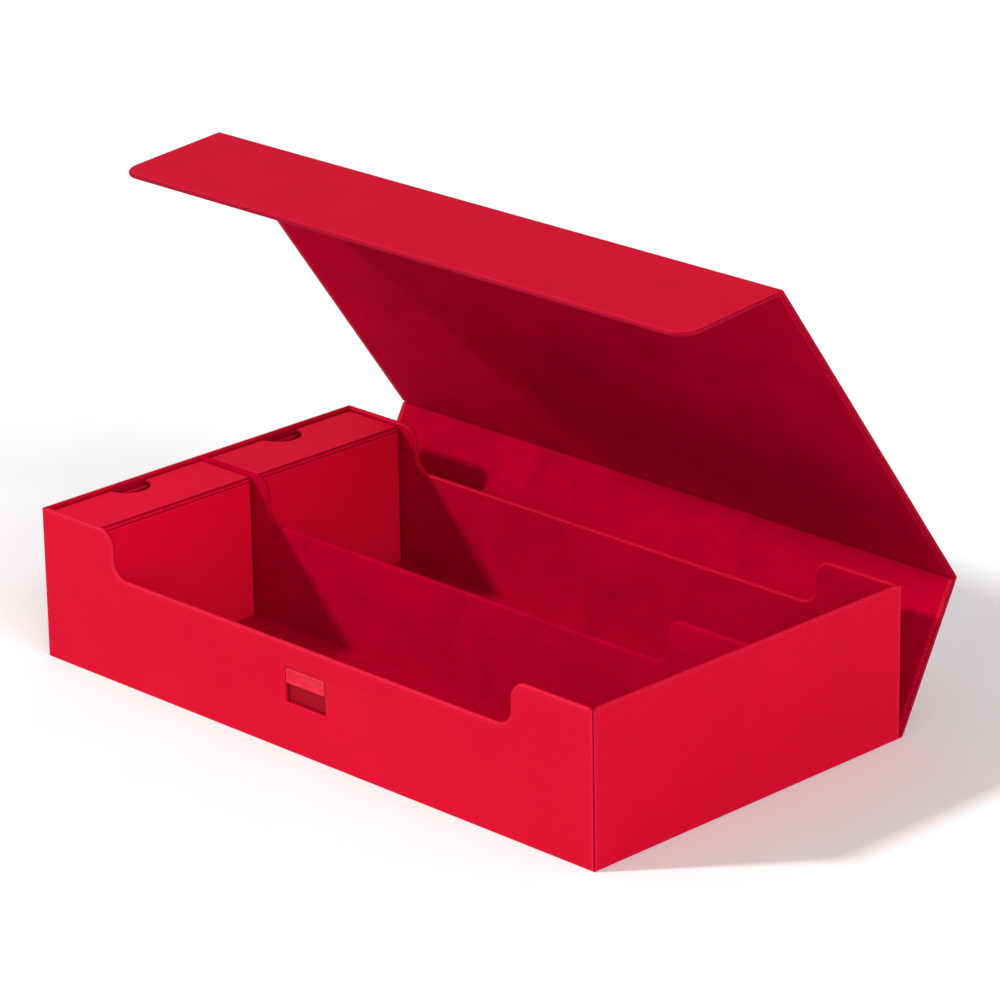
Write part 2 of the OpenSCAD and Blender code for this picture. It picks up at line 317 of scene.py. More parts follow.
def make_leatherette(name, deep, main, rub_and_painted_light, pebble=0.75):
    """Soft polyurethane leatherette: pebbles with darker valleys, and paler edges from rubbing that
    also carry a painted highlight.

    A value above 0 is an edge paler from rubbing, partly a painted highlight, and below 0 it is painted
    shade down in a seam or a groove."""
    finish, shader, place = new_finish(name, Specular_IOR_Level=0.045)
    pebbles = add_node(finish, "ShaderNodeTexVoronoi", {"Vector": place, "Scale": 1 / pebble},
                       feature="SMOOTH_F1").outputs["Distance"]
    pores = noise(finish, place, 0.22, 3.0, 0.6)
    creases = noise(finish, place, 2.6, 4.0, 0.62, 0.6)
    tone = noise(finish, place, 38, 3.0, 0.55)
    red = shades(finish, pebbles, (0.0, main), (0.66, main), (1.0, deep))
    red = overlay(finish, red, shades(finish, tone, (0.3, (0.93, 0.93, 0.93)), (0.7, (1, 1, 1))),
                  1.0, "MULTIPLY")
    red = overlay(finish, red, shades(finish, creases, (0.35, (0.95, 0.95, 0.95)), (0.6, (1, 1, 1))),
                  1.0, "MULTIPLY")
    wear_and_painted_light = add_node(finish, "ShaderNodeAttribute", attribute_name="wear_and_painted_light").outputs["Fac"]
    rubbed_and_highlight = add_node(finish, "ShaderNodeMath", {0: wear_and_painted_light, 1: between(finish, creases, 0.6, 1.25)},
                      operation="MULTIPLY", use_clamp=True).outputs[0]
    painted_sunk_shade = add_node(finish, "ShaderNodeMath", {0: wear_and_painted_light, 1: -1.0}, operation="MULTIPLY",
                    use_clamp=True).outputs[0]
    # Edges paler from rubbing, partly a painted highlight; painted shade in seams and grooves.
    red = overlay(finish, red, rub_and_painted_light, rubbed_and_highlight)
    red = overlay(finish, red, (0.6 * deep[0], 0.0, 1.5 * deep[2]), painted_sunk_shade)
    fill(finish, shader, Base_Color=red, Roughness=between(finish, pores, 0.5, 0.64),
         Normal=relief(finish, (creases, 0.035), (pebbles, -0.05), (pores, 0.018)))
    return finish


leatherette = make_leatherette("leatherette", deep=(0.34, 0.0, 0.01), main=(0.535, 0.001, 0.021),
                               rub_and_painted_light=(0.62, 0.012, 0.046))


def turned(depth, radius):
    """How far a rounded edge has moved in at that depth below the face."""
    left = max(radius - depth, 0.0)
    return radius - math.sqrt(radius * radius - left * left)


def arc(centre, radius, start, end, steps):
    """Points on an arc, with angles in degrees."""
    return [(centre[0] + radius * math.cos(math.radians(start + (end - start) * i / steps)),
             centre[1] + radius * math.sin(math.radians(start + (end - start) * i / steps)))
            for i in range(steps + 1)]


def mirrored(points):
    """A row of points, with its own mirror image put before it."""
    return [(-p[0], *p[1:]) for p in reversed(points)] + list(points)


def cut_out_line(inset, end):
    """A long wall's free edge from end to end: low in the middle, S-shaped up to each shoulder."""
    low = arc((cut_half - cut_r, cut_z + cut_r), cut_r + inset, -90, 0, bend_steps)
    high = arc((cut_half + cut_r, box_h - cut_r), cut_r - inset, 180, 90, bend_steps)
    return mirrored(low + high + [(end - corner_reach, box_h - inset), (end, box_h - inset)])


def level_line(inset, end):
    """An end wall's free edge."""
    return mirrored([(end - corner_reach, box_h - inset), (end, box_h - inset)])


def rim_profile(thickness, outer_r, inner_r, start=0.0, steps=5):
    """(inset, depth) round a wrapped edge, from the face to the back; start is the first depth."""
    first = math.degrees(math.acos(1 - start / outer_r))
    outer = arc((outer_r, outer_r), outer_r, 270 - first, 180, steps)
    inner = arc((inner_r, thickness - inner_r), inner_r, 180, 90, steps)
    return outer + inner


def wall_leather(name, matrix, half_u, edge_line, towards, opening=None):
    """A wall's leatherette, drawn as u along the wall, depth behind its face, and z."""
    pattern = Pattern()

    # Each row carries painted shade in the stitch groove and corner seam, and rubbing with a painted
    # highlight on the rims and rounded corners.
    def whole_row(top_in, side_in, low_in, depth, low_depth, rim_wear_and_light=0.0, side_wear_and_light=0.0):
        side = half_u - side_in
        low_z = base_lift + low_in
        row = [(u, depth, z) for u, z in edge_line(top_in, side)]
        rub_and_painted_light = [side_wear_and_light] + [rim_wear_and_light] * (len(row) - 2) + [side_wear_and_light] * 3 + [0.0] * 2 + [side_wear_and_light] * 2
        row += [(side, depth, foot_z), (side, low_depth, low_z),
                (side - corner_reach, low_depth, low_z)]
        row += [(-u, y, z) for u, y, z in reversed(row[-3:])]
        return pattern.line(row, rub_and_painted_light)

    rows = []
    for number, (out, depth) in enumerate(groove):
        low_in = foot_r + first_row_up - next_row_down * number
        wear_and_painted_light = groove_painted_shade if depth else 0.0
        rows.append(whole_row(rim_stitch_in + out, corner_stitch_in + out, low_in, depth, 0,
                              wear_and_painted_light, wear_and_painted_light))
    corner_turn = math.pi / 4 + math.asin(corner_gap / math.sqrt(2) / corner_r)
    steps = 6
    for i in range(steps + 1):
        turn = corner_turn * i / steps
        depth = corner_r * (1 - math.cos(turn))
        side_in = corner_gap + corner_r * (1 - math.sin(turn))
        rows.append(whole_row(turned(depth, rim_r), side_in, turned(depth, foot_r), depth, depth,
                              rim_rub_and_highlight_first + rim_rub_and_highlight_step * i,
                              side_rub_and_highlight if i < steps - 2 else seam_painted_shade))
    pattern.join_all(rows, closed=True)
    mitre = corner_r * (1 - math.cos(corner_turn))

    edge_n = len(edge_line(0, half_u))
    edges = [rows[-1][:edge_n]]
    # Over the free edge: rubbing with a painted highlight on the outer rim, and painted shade down each
    # mitre.
    profile = rim_profile(wrap_in, rim_r, inner_rim_r, mitre)[1:] + [(wrap_down, wrap_in)]
    for inset, depth in profile:
        wear_and_painted_light = rim_rub_and_highlight if depth < rim_r else 0.0
        line = [(u, depth, z) for u, z in edge_line(inset, half_u - depth)]
        edges.append(pattern.line(line, [mitre_painted_shade] + [wear_and_painted_light] * (len(line) - 2) + [mitre_painted_shade]))
    pattern.join_all(edges)

    feet = [rows[-1][edge_n + 4:edge_n:-1]]
    for depth in (mitre + 0.07, foot_r, turn_under):
        end = half_u - depth
        z = base_lift + turned(depth, foot_r)
        across = (-end, corner_reach - end, end - corner_reach, end)
        feet.append(pattern.line([(u, depth, z) for u in across]))
    pattern.join_all(feet)

    holes = []
    if opening:
        # Round the window: rubbing with a painted highlight on its edge, and painted shade down inside
        # the reveal.
        turns = [pattern.line([(u, depth, z) for u, z in opening(out)], wear_and_painted_light)
                 for out, depth, wear_and_painted_light in ((0.5, 0, 0), (0.25, 0.07, 0.5), (0.07, 0.25, 0.5),
                                          (0, 0.5, 0), (0, board_in - 0.3, -0.2))]
        pattern.join_all(turns, closed=True)
        holes = [(rows[0], turns[0])]
    else:
        pattern.faces.append(tuple(rows[0]))
    return make_piece(name, pattern, leatherette, towards, matrix, leather_t, holes)


window_low, window_high = (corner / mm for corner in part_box("window_backing"))
window_turn, window_corner_r = 0.4, 0.6


def rounded_rectangle(half_x, half_y, radius, steps=4, centre=(0.0, 0.0)):
    """A closed row round a rectangle, with its corners rounded."""
    row = []
    for sx, sy, start in ((1, 1, 0), (-1, 1, 90), (-1, -1, 180), (1, -1, 270)):
        middle = (centre[0] + sx * (half_x - radius), centre[1] + sy * (half_y - radius))
        row += arc(middle, radius, start, start + 90, steps)
    return row


def window_row(out):
    """The edge of the window in the front wall, moved out."""
    middle = (window_low + window_high) / 2
    half = (window_high - window_low) / 2
    return rounded_rectangle(half.x - window_turn + out, half.z - window_turn + out,
                             max(window_corner_r + out, 0.2), centre=(middle.x, middle.z))


walls = {
    "front": (Matrix.Translation((0, -half_d, 0)), half_l, cut_out_line, (0, -far_off, 40), window_row),
    "rear": (Matrix.Translation((0, half_d, 0)) @ Matrix.Rotation(math.pi, 4, "Z"),
             half_l, cut_out_line, (0, far_off, 40), None),
    "right": (Matrix.Translation((half_l, 0, 0)) @ Matrix.Rotation(math.pi / 2, 4, "Z"),
              half_d, level_line, (far_off, 0, 40), None),
    "left": (Matrix.Translation((-half_l, 0, 0)) @ Matrix.Rotation(-math.pi / 2, 4, "Z"),
             half_d, level_line, (-far_off, 0, 40), None),
}
for side, (matrix, half_u, edge_line, towards, opening) in walls.items():
    piece = wall_leather(side + "_leather", matrix, half_u, edge_line, towards, opening)
    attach(piece, "box")
    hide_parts(side + "_skin")

# ---- Stitching of the walls ----
# One row of bonded polyester thread runs below the free edges and down beside each corner
# seam. Every stitch dips into its hole at both ends and stands up a little between them.

stitch_l, stitch_pitch, thread_r = 1.9, 2.7, 0.2


def make_thread():
    """Twisted red thread, a little deeper than the leatherette."""
    finish, shader, place = new_finish("thread", Specular_IOR_Level=0.15)
    twist = noise(finish, place, 0.16, 2.0, 0.6, 1.0)
    fill(finish, shader,
         Base_Color=shades(finish, twist, (0.3, (0.5, 0.002, 0.02)), (0.7, (0.72, 0.01, 0.042))),
         Roughness=between(finish, twist, 0.5, 0.75), Normal=relief(finish, (twist, 0.04)))
    return finish


thread = make_thread()


def stitch_row(line, out):
    """Stitches spaced along a line of points; out is the direction that the surface faces."""
    line = np.array(line, float)
    steps = np.linalg.norm(np.diff(line, axis=0), axis=1)
    along = np.concatenate([[0], np.cumsum(steps)])
    count = max(int(along[-1] / stitch_pitch), 1)
    at = (np.arange(count) + 0.5) * along[-1] / count
    ends = [np.stack([np.interp(at + s, along, line[:, k]) for k in range(3)], axis=1)
            for s in (-0.4, 0.0, 0.4)]
    forward = ends[2] - ends[0]
    forward /= np.linalg.norm(forward, axis=1)[:, None]
    across = np.cross(np.array(out, float), forward)
    sides = 6
    turns = np.arange(sides) * 2 * math.pi / sides
    half = stitch_l / 2
    rings = [(-half, 0.5, -0.16), (-0.6 * half, 0.9, 0.02), (0, 1.0, 0.08), (0.6 * half, 0.9, 0.02),
             (half, 0.5, -0.16)]
    stitch_points = len(rings) * sides
    template = np.array([(x, thread_r * r * math.cos(t), thread_r * r * math.sin(t) + z)
                         for x, r, z in rings for t in turns])
    points = (ends[1][:, None, :] + template[None, :, :1] * forward[:, None, :]
              + template[None, :, 1:2] * across[:, None, :]
              + template[None, :, 2:] * np.array(out, float))
    faces = []
    for ring in range(len(rings) - 1):
        near, far = ring * sides, (ring + 1) * sides
        for i in range(sides):
            j = (i + 1) % sides
            faces.append((near + i, near + j, far + j, far + i))
    faces.append(tuple(range(sides - 1, -1, -1)))
    faces.append(tuple(range(stitch_points - sides, stitch_points)))
    faces = [tuple(v + n * stitch_points for v in f) for n in range(count) for f in faces]
    return points.reshape(-1, 3), faces


def make_stitches(name, rows, body, matrix=None):
    """One piece of all the stitches in rows of (line, out)."""
    points, faces = [], []
    for line, out in rows:
        new_points, new_faces = stitch_row(line, out)
        faces += [tuple(v + len(points) for v in f) for f in new_faces]
        points += [tuple(p) for p in new_points]
    if matrix:
        points = [matrix @ Vector(p) for p in points]
    mesh = bpy.data.meshes.new(name)
    mesh.from_pydata([Vector(p) * mm for p in points], [], faces)
    mesh.polygons.foreach_set("use_smooth", [True] * len(mesh.polygons))
    mesh.materials.append(thread)
    piece = bpy.data.objects.new(name, mesh)
    bpy.context.scene.collection.objects.link(piece)
    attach(piece, body)
    return piece


stitch_depth = 0.12
for side, (matrix, half_u, edge_line, towards, opening) in walls.items():
    end = half_u - corner_stitch_in
    edge = [(u, stitch_depth, z) for u, z in edge_line(rim_stitch_in, end)]
    up_right = [(end, stitch_depth, foot_z), (end, stitch_depth, box_h - rim_stitch_in)]
    up_left = [(-u, depth, z) for u, depth, z in up_right]
    make_stitches(side + "_stitches", [(row, (0, -1, 0)) for row in (edge, up_right, up_left)],
                  "box", matrix)

# ---- Base ----
# Under the box the walls' leatherette is turned in as a border, and one more sheet is glued
# over its raw edges. At the back that sheet runs on into the cover's lowest crease.

border_shown, base_lap, base_r = 9.0, 1.0, 3.0
base_half = (half_l - border_shown, half_d - (border_shown + base_lap) / 2)
base_middle = (0.0, (border_shown - base_lap) / 2)
pattern = Pattern()
rows = []
for inset, z in ((0.3, 0.0), (0.1, 0.06), (0.0, 0.2), (0.0, 0.45)):
    row = rounded_rectangle(base_half[0] - inset, base_half[1] - inset, base_r - inset,
                            centre=base_middle)
    rows.append(pattern.line([(x, y, z) for x, y in row]))
pattern.faces.append(tuple(rows[0]))
pattern.join_all(rows, closed=True)
piece = make_piece("base_leather", pattern, leatherette, (0, 0, -far_off))
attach(piece, "box")
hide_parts("base_skin")

# ---- Name window ----
# A small leatherette-backed window low in the front wall, with a blank moulded name plate
# clipped into its upper half and a card pocket left open below it.


def make_plate_finish():
    """Brighter red moulded plastic with a faint flow pattern and a satin face."""
    finish, shader, place = new_finish("name_plate", Specular_IOR_Level=0.12, Coat_Weight=0.02,
                                       Coat_Roughness=0.3)
    flow = noise(finish, stretched(finish, place, 0.3, 1, 1), 2.5, 3.0, 0.5, 0.8)
    grain = noise(finish, place, 0.15, 2.0)
    fill(finish, shader,
         Base_Color=shades(finish, flow, (0.3, (0.56, 0.006, 0.03)), (0.7, (0.63, 0.01, 0.038))),
         Roughness=between(finish, grain, 0.34, 0.5), Normal=relief(finish, (grain, 0.012)))
    return finish


plate_low, plate_high = (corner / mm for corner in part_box("name_plate"))
plate_gap, plate_edge, plate_bevel, field_sunk = 0.9, 1.2, 0.3, 0.35
plate_front = plate_low.y - 0.7
plate_middle = (0.0, (plate_low.z + plate_high.z - window_turn) / 2)
plate_half = (window_high.x - window_turn - plate_gap / 2,
              (plate_high.z - plate_low.z - window_turn - plate_gap) / 2)
pattern = Pattern()
rows = []
for inset, y in ((0, plate_high.y + 0.1), (0, plate_front + plate_bevel), (plate_bevel, plate_front),
                 (plate_edge, plate_front), (plate_edge + 0.25, plate_front + field_sunk)):
    row = rounded_rectangle(plate_half[0] - inset, plate_half[1] - inset, max(1.0 - inset, 0.3),
                            centre=plate_middle)
    rows.append(pattern.line([(x, y, z) for x, z in row]))
pattern.join_all(rows, closed=True)
pattern.faces += [tuple(rows[0]), tuple(rows[-1])]
piece = make_piece("blank_name_plate", pattern, make_plate_finish(), (0, -far_off, 40), sharp=50)
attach(piece, "box")
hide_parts("name_plate")

pattern = Pattern()
back_y = window_high.y - skin_t
# Painted shade round the backing's edge, below the window's reveal.
rows = [pattern.line([(x, y, z) for x, z in window_row(out)], wear_and_painted_light)
        for out, y, wear_and_painted_light in ((-1.4, back_y, 0.0), (-0.7, back_y, -0.4), (0.2, back_y - 0.1, -0.4),
                             (2.5, back_y - 0.1, 0.0))]
pattern.faces.append(tuple(rows[0]))
pattern.join_all(rows, closed=True)
# The backing is a darker copy of the leatherette: painted shade for the recess.
painted_shade_leather = make_leatherette("window_leather", deep=(0.16, 0.0, 0.005), main=(0.29, 0.001, 0.012),
                                  rub_and_painted_light=(0.5, 0.004, 0.03))
piece = make_piece("window_leather", pattern, painted_shade_leather, (0, -far_off, 40), thickness=0.25)
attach(piece, "box")
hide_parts("window_backing")

# ---- Linings of the two rows ----
# Brushed microfibre, cut as one piece for each row and glued to its floor, its two ends and
# its outer wall. The cut edge stops just below the leatherette's turned rim.

lining_top_in, lining_t, lining_edge_r = 1.0, 0.5, 0.3
cloth_t = 0.3
floor_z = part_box("front_tray_skin")[0].z / mm
row_in = half_d - board_in - lining_t
row_end = half_l - board_in - lining_t
sleeve_half_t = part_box("divider_sleeve")[1].y / mm
tuck_in = 0.2


def make_microfibre():
    """Suede-like microfibre: short nap brushed in drifting patches, darker where it leans away."""
    finish, shader, place = new_finish("microfibre", Specular_IOR_Level=0.01, Sheen_Weight=0.12,
                                       Sheen_Roughness=0.4)
    shader.inputs["Sheen Tint"].default_value = (1.0, 0.0, 0.08, 1)
    drift = noise(finish, place, 34, 3.0, 0.55, 0.9)
    strokes = noise(finish, stretched(finish, place, 0.35, 1.0, 0.6), 9, 4.0, 0.6, 1.6)
    nap = noise(finish, stretched(finish, place, 0.35, 1.0, 1.0), 0.32, 3.0, 0.7, 0.4)
    red = shades(finish, drift, (0.3, (0.4, 0.0, 0.019)), (0.5, (0.455, 0.0, 0.022)),
                 (0.68, (0.49, 0.0, 0.024)))
    red = overlay(finish, red, shades(finish, strokes, (0.35, (0.86, 0.86, 0.86)), (0.62, (1, 1, 1))),
                  0.7, "MULTIPLY")
    red = overlay(finish, red, shades(finish, nap, (0.3, (0.82, 0.8, 0.8)), (0.7, (1, 1, 1))),
                  1.0, "MULTIPLY")
    fill(finish, shader, Base_Color=red, Roughness=between(finish, nap, 0.82, 1.0),
         Normal=relief(finish, (strokes, 0.05), (nap, 0.09)))
    return finish


microfibre = make_microfibre()


def lining_wall(pattern, matrix, edge_line, face):
    """A lined wall. edge_line gives its upper edge at an inset, and face is how far in it lies."""
    rows = []
    steps = 4
    for i in range(-1, steps + 2):
        turn = math.radians(90 * min(max(i, 0), steps) / steps)
        inset = lining_top_in + lining_edge_r * (1 - math.sin(turn)) + (0.8 if i < 0 else 0)
        depth = face - lining_edge_r * (1 - math.cos(turn)) - (0.15 if i > steps else 0)
        edge = edge_line(inset)
        row = [(u, depth, z) for u, z in edge]
        row += [(edge[-1][0], depth, floor_z - 0.2), (edge[0][0], depth, floor_z - 0.2)]
        rows.append(pattern.line([matrix @ Vector(p) for p in row]))
    edge_n = len(rows[0]) - 2
    pattern.faces.append(tuple(rows[0]))
    pattern.join_all([row[:edge_n] for row in rows])


def lining_floor(pattern, low, high, steps=(60, 18)):
    """A row's floor: glued flat, with the slight swell of cloth between its glued patches."""
    rows = []
    for j in range(steps[1] + 1):
        row = []
        for i in range(steps[0] + 1):
            x = low[0] + (high[0] - low[0]) * i / steps[0]
            y = low[1] + (high[1] - low[1]) * j / steps[1]
            swell = 0.05 * math.sin(x / 17 + 0.6 * math.sin(y / 23)) * math.sin(y / 13 + 1)
            row.append((x, y, floor_z - 0.06 + swell))
        rows.append(pattern.line(row))
    pattern.join_all(rows)


for name, side in (("front", -1), ("rear", 1)):
    pattern = Pattern()
    lining_wall(pattern, walls[name][0], lambda inset: cut_out_line(inset, row_end + tuck_in),
                half_d - row_in)
    for end in ("left", "right"):
        turned_round = (side > 0) == (end == "right")
        near, far = (sleeve_half_t, row_in) if turned_round else (-row_in, -sleeve_half_t)
        lining_wall(pattern, walls[end][0], lambda inset: [(near, box_h - inset), (far, box_h - inset)],
                    half_l - row_end)
    lining_floor(pattern, (-row_end - 0.3, side * (sleeve_half_t - 0.3)),
                 (row_end + 0.3, side * (row_in + 0.3)))
    lining = make_piece(name + "_row_sheet", pattern, microfibre, (0, side * 50, 45), thickness=cloth_t)
    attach(lining, "box")
    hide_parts(name + "_row_lining")

# ---- Divider sleeve ----
# One strip of the same microfibre folded over the divider's board and glued down both sides,
# so that its top and its S-shaped shoulders are softly rounded.

sleeve_cloth_t = 0.35
sleeve_r = sleeve_half_t - 0.02
pattern = Pattern()
rows = []
steps = 10
for i in range(steps + 1):
    turn = math.pi * i / steps
    y = -sleeve_half_t * math.cos(turn)
    inset = sleeve_r * (1 - math.sin(turn))
    edge = cut_out_line(inset, row_end + tuck_in)
    row = [(u, y, z) for u, z in edge]
    row += [(end, y, floor_z - 0.3) for end in (row_end + tuck_in, -row_end - tuck_in)]
    rows.append(pattern.line(row))
edge_n = len(rows[0]) - 2
pattern.join_all([row[:edge_n] for row in rows])
pattern.faces += [tuple(rows[0]), tuple(rows[-1])]
sleeve = make_piece("divider_sheet", pattern, microfibre, (0, -far_off, 30),
                    thickness=sleeve_cloth_t)
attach(sleeve, "box")
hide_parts("divider_sleeve")

# ---- Cover panels ----
# Three boards in one continuous wrapper of leatherette, which is turned in round the cover's
# edge as a stitched border. Microfibre is glued inside, within the border.

hinges = {joint["name"]: joint for joint in frame["joints"]}
back_open, top_open, flap_open = (-hinges[name]["range_deg"][0]
                                  for name in ("back_hinge", "cover_hinge", "flap_hinge"))
cover_gap, crease_gap, cover_board_t, flap_drop = 0.4, 0.3, 1.4, 64.0
panel_t = skin_t + cover_board_t + lining_t
crease_r = panel_t / 2
crease_reach = crease_r + crease_gap
hinge_y = half_d + cover_gap + crease_r
low_hinge_z, high_hinge_z = crease_r, box_h + cover_gap + crease_r
back_l = high_hinge_z - low_hinge_z - 2 * crease_reach
top_l = 2 * hinge_y - 2 * crease_reach
flap_l, flap_corner_r = flap_drop - crease_reach, 11.0


def swing(y, z, angle):
    """Turns what is laid out closed about a hinge line along X."""
    return (Matrix.Translation((0, y, z)) @ Matrix.Rotation(math.radians(-angle), 4, "X")
            @ Matrix.Translation((0, -y, -z)))


def turned_to(x, z):
    """A panel's own axes: x along the hinge, y away from it, z towards its outer face."""
    return Matrix.Rotation(math.radians(z), 4, "Z") @ Matrix.Rotation(math.radians(x), 4, "X")


back_pose = swing(hinge_y, low_hinge_z, back_open)
top_pose = back_pose @ swing(hinge_y, high_hinge_z, top_open)
flap_pose = top_pose @ swing(-hinge_y, high_hinge_z, flap_open)
back_start = Vector((0, hinge_y - crease_r, low_hinge_z + crease_reach))
top_start = Vector((0, hinge_y - crease_reach, box_h + cover_gap))
flap_start = Vector((0, crease_r - hinge_y, high_hinge_z - crease_reach))
back_place = back_pose @ Matrix.Translation(back_start) @ turned_to(90, 180)
top_place = top_pose @ Matrix.Translation(top_start) @ turned_to(0, 180)
flap_place = flap_pose @ Matrix.Translation(flap_start) @ turned_to(-90, 180)

panel_rim_r, panel_inner_r, panel_back_h = 1.1, 0.9, 0.15
# A panel's rounded edge: rubbing with a painted highlight next to the face, and painted shade over the
# rest of it.
panel_rim_rub_and_highlight, panel_rim_painted_shade = 0.4, -0.7
border_w, border_lap = 3.0, 1.2
panel_cloth_t = 0.25
outer_stitch_in, inner_stitch_in = 1.9, 1.65


def panel_line(w, l, inset, corner_r=None, notch_r=0.0):
    """A panel's edge from crease to crease, or round its free end. Its hinged edge is y = 0."""
    side = w / 2 - inset
    if corner_r is None:
        half = [(side, l), (side, 0.0)]
        return [(-x, y) for x, y in reversed(half)], half
    end = l - inset
    r = max(corner_r - inset, 0.15)
    right = arc((side - r, end - r), r, 90, 0, 8) + [(side, 0.0)]
    if notch_r:
        lip = math.degrees(math.asin(inset / (notch_r + inset)))
        right = arc((0, l), notch_r + inset, -90, -lip, 14) + right
    line = mirrored(right)
    return line[:len(right)], line[len(right):]


def panel_rows(pattern, profile, w, l, corner_r, notch_r):
    """A row of points for each (inset, height, wear) of the profile."""
    rows = []
    for inset, height, wear_and_painted_light in profile:
        left, right = panel_line(w, l, inset, corner_r, notch_r)
        rows.append(pattern.line([(x, y, height) for x, y in left + right], wear_and_painted_light))
    return rows


def panel_leather(name, matrix, w, l, body, node, corner_r=None, notch_r=0.0, finish=leatherette,
                  stitched=True):
    """A panel's leatherette: its outer face, its rounded edge and the border turned in."""
    grooved = groove if stitched else ((0.9, 0.0), (-0.4, 0.0))
    profile = [(outer_stitch_in + out, panel_t - depth, groove_painted_shade if depth else 0.0)
               for out, depth in grooved]
    profile += [(inset, panel_t - depth, panel_rim_rub_and_highlight if depth < 0.2 else panel_rim_painted_shade) for inset, depth
                in rim_profile(panel_t - panel_back_h, panel_rim_r, panel_inner_r)]
    if stitched:
        profile += [(inner_stitch_in - out, panel_back_h + depth, groove_painted_shade if depth else 0.0)
                    for out, depth in groove if out < 0.5]
    # Painted shade on the border's end, under the lining's edge.
    profile += [(border_w + border_lap, panel_back_h, -0.3)]
    pattern = Pattern()
    rows = panel_rows(pattern, profile, w, l, corner_r, notch_r)
    skip = (len(rows[0]) // 2 - 1,) if corner_r is None else ()
    pattern.join_all(rows, skip=skip)
    pattern.faces.append(tuple(rows[0]))
    outside = matrix @ Vector((0, l / 2, far_off))
    piece = make_piece(name, pattern, finish, outside, matrix, leather_t)
    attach(piece, body)
    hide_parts(node)
    return piece


def panel_lining(name, matrix, w, l, body, node, corner_r=None, notch_r=0.0):
    """The microfibre inside a panel, with its cut edge lying on the leatherette's border."""
    profile = [(border_w + 1.5, 0.0, 0.0), (border_w + 0.3, 0.0, 0.0), (border_w + 0.1, 0.04, 0.0),
               (border_w, 0.16, 0.0), (border_w, 0.3, 0.0)]
    pattern = Pattern()
    rows = panel_rows(pattern, profile, w, l, corner_r, notch_r)
    skip = (len(rows[0]) // 2 - 1,) if corner_r is None else ()
    pattern.join_all(rows, skip=skip)
    pattern.faces.append(tuple(rows[0]))
    inside = matrix @ Vector((0, l / 2, -far_off))
    piece = make_piece(name, pattern, microfibre, inside, matrix, panel_cloth_t)
    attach(piece, body)
    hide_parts(node)
    return piece


cover = (
    ("back", back_place, back_l, "back_panel", None),
    ("top", top_place, top_l, "top_panel", None),
    ("flap", flap_place, flap_l, "flap", flap_corner_r),
)
for name, place, length, body, corner in cover:
    panel_leather(name + "_leather", place, 2 * half_l, length, body, name + "_skin", corner)
    panel_lining(name + "_lining_sheet", place, 2 * half_l, length, body, name + "_lining",
                 corner)
    stitched = []
    for inset, height, out in ((outer_stitch_in, panel_t - stitch_depth, 1),
                               (inner_stitch_in, panel_back_h + stitch_depth, -1)):
        left, right = panel_line(2 * half_l, length, inset, corner)
        lines = (left, right) if corner is None else (left + right,)
        stitched += [([(x, y, height) for x, y in line], (0, 0, out)) for line in lines]
    make_stitches(name + "_stitches", stitched, body, place)

# ---- Cover creases ----
# Between two boards the wrapper and the lining are glued to each other with no board inside,
# and fold there. Outside the leatherette bends round; inside the lining tucks into a groove.


def crease_section(axis, a, b, drop, pressed):
    """The outside of a crease, seen along its axis, with painted shade down its tooled lines; drop is
    how far it is lowered.

    pressed is how deep a line is tooled beside face a and along the bend's edge next to b."""
    (away_a, out_a), (away_b, out_b) = a, b
    bend = math.acos(max(-1, min(1, out_a.dot(out_b))))
    height = crease_r - drop
    # The tooled lines get painted shade.
    painted_sunk_shade = -1.0 if pressed else 0.0
    section = [(away_a * crease_reach + out_a * (height - pressed), painted_sunk_shade),
               (away_a * (crease_reach - 0.4) + out_a * (height - pressed), painted_sunk_shade),
               (away_a * (crease_reach - 0.7) + out_a * height, 0.0)]
    steps = 12
    for i in range(steps + 1):
        share = i / steps
        out = (out_a * math.sin((1 - share) * bend) + out_b * math.sin(share * bend)) / math.sin(bend)
        in_line = 0.3 < share < 0.95
        section.append((out * (height - (pressed if in_line else 0.0)), painted_sunk_shade if in_line else 0.0))
    section.append((away_b * crease_reach + out_b * height, 0.0))
    return [axis + point for point, wear_and_painted_light in section], [wear_and_painted_light for point, wear_and_painted_light in section]


inner_fold = ((1.0, 1.0), (0.9, 0.76), (0.72, 0.42), (0.4, 0.14))


